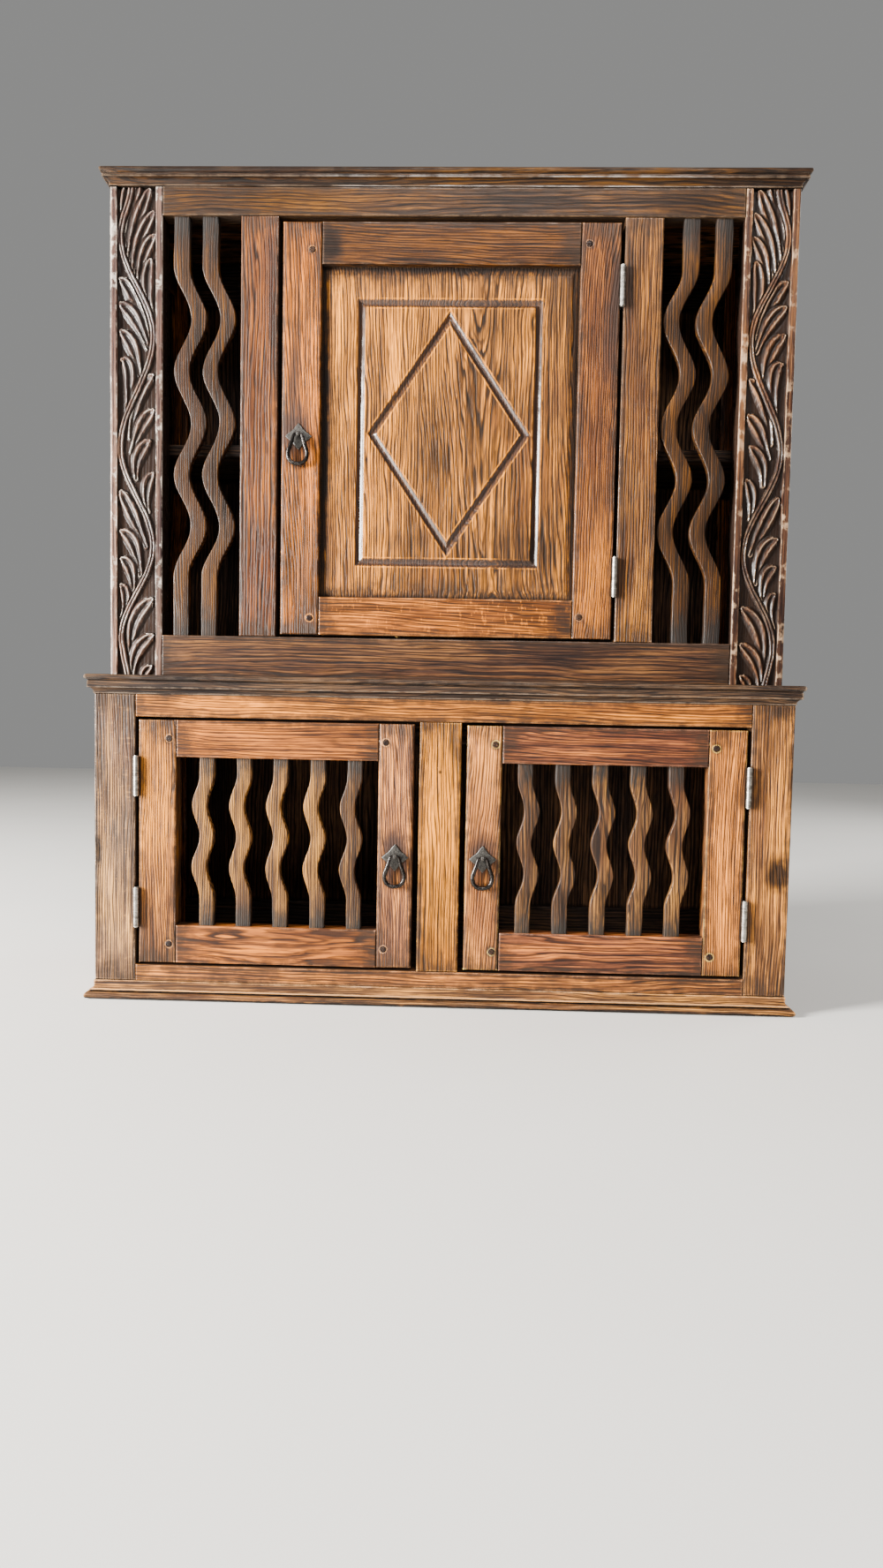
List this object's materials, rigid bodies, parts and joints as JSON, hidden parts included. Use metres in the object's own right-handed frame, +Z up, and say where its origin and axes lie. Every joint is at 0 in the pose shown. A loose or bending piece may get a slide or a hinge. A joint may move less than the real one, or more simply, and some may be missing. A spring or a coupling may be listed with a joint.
{
  "type": "wall cabinet",
  "caption": "Two-stage oak wall cabinet: a panelled door between slatted lights and carved posts, set back over a lower stage with slatted doors.",
  "frame": {"origin": "middle of the cabinet's box at the underside of the base moulding", "axes": "+Z up, the front faces -Y, +Y points to the wall, +X to the right as seen from the front"},
  "size_m": [0.906, 0.3, 1.066],
  "materials": {
    "oak": "worn wax over aged oak",
    "dark_oak": "dark wax over aged oak",
    "carved_oak": "waxed carving, worn on its ridges",
    "panel_oak": "waxed golden oak",
    "slat_oak": "dry greyed oak",
    "peg_oak": "dark end grain",
    "board_oak": "unfinished darkened oak",
    "iron": "forged, rubbed bright at its edges",
    "steel": "worn steel",
    "brass": "dull brass"
  },
  "bodies": {
    "case": {"cornice": "dark_oak", "waist_moulding": "dark_oak", "base_moulding": "oak", "carved_post_left": "carved_oak", "carved_post_right": "carved_oak", "frieze_rail": "dark_oak", "upper_bottom_rail": "dark_oak", "upper_muntin_left": "oak", "upper_muntin_right": "oak", "side_slats_left": "slat_oak", "side_slats_right": "slat_oak", "upper_rear_posts": "board_oak", "upper_side_rails": "oak", "upper_side_panels": "oak", "upper_back_rails": "board_oak", "upper_back_boards": "board_oak", "top_board": "dark_oak", "shelf": "board_oak", "shelf_cleats": "board_oak", "waist_board": "dark_oak", "lower_post_left": "oak", "lower_post_right": "oak", "lower_top_rail": "oak", "lower_bottom_rail": "oak", "lower_muntin": "oak", "lower_rear_posts": "board_oak", "lower_side_rails": "oak", "lower_side_panels": "oak", "lower_back_rails": "board_oak", "lower_back_boards": "board_oak", "bottom_board": "board_oak", "door_stops": "board_oak", "catch_plate": "brass", "fixed_hinge_leaves": "steel", "hinge_pins": "steel"},
    "upper_door": {"upper_door_lock_stile": "oak", "upper_door_hinge_stile": "oak", "upper_door_rails": "oak", "upper_door_panel": "panel_oak", "upper_door_pegs": "peg_oak", "upper_door_catch": "brass", "upper_door_hinge_leaves": "steel", "upper_pull_plate": "iron"},
    "left_door": {"left_door_lock_stile": "oak", "left_door_hinge_stile": "oak", "left_door_rails": "oak", "left_door_slats": "slat_oak", "left_door_pegs": "peg_oak", "left_door_hinge_leaves": "steel", "left_pull_plate": "iron"},
    "right_door": {"right_door_lock_stile": "oak", "right_door_hinge_stile": "oak", "right_door_rails": "oak", "right_door_slats": "slat_oak", "right_door_pegs": "peg_oak", "right_door_hinge_leaves": "steel", "right_pull_plate": "iron"},
    "upper_drop": {"upper_pull_drop": "iron"},
    "left_drop": {"left_pull_drop": "iron"},
    "right_drop": {"right_pull_drop": "iron"}
  },
  "joints": [
    {"name": "upper_door_hinge", "type": "hinge", "parent": "case", "child": "upper_door", "pos_m": [0.2198, -0.0873, 0.74], "axis": [0, 0, 1], "range_deg": [0, 165]},
    {"name": "left_door_hinge", "type": "hinge", "parent": "case", "child": "left_door", "pos_m": [-0.3868, -0.1423, 0.2035], "axis": [0, 0, -1], "range_deg": [0, 165]},
    {"name": "right_door_hinge", "type": "hinge", "parent": "case", "child": "right_door", "pos_m": [0.3868, -0.1423, 0.2035], "axis": [0, 0, 1], "range_deg": [0, 165]},
    {"name": "upper_drop_pivot", "type": "hinge", "parent": "upper_door", "child": "upper_drop", "pos_m": [-0.1943, -0.0896, 0.733], "axis": [-1, 0, 0], "range_deg": [-3, 100]},
    {"name": "left_drop_pivot", "type": "hinge", "parent": "left_door", "child": "left_drop", "pos_m": [-0.0558, -0.1446, 0.192], "axis": [-1, 0, 0], "range_deg": [-3, 100]},
    {"name": "right_drop_pivot", "type": "hinge", "parent": "right_door", "child": "right_drop", "pos_m": [0.0558, -0.1446, 0.192], "axis": [-1, 0, 0], "range_deg": [-3, 100]}
  ]
}
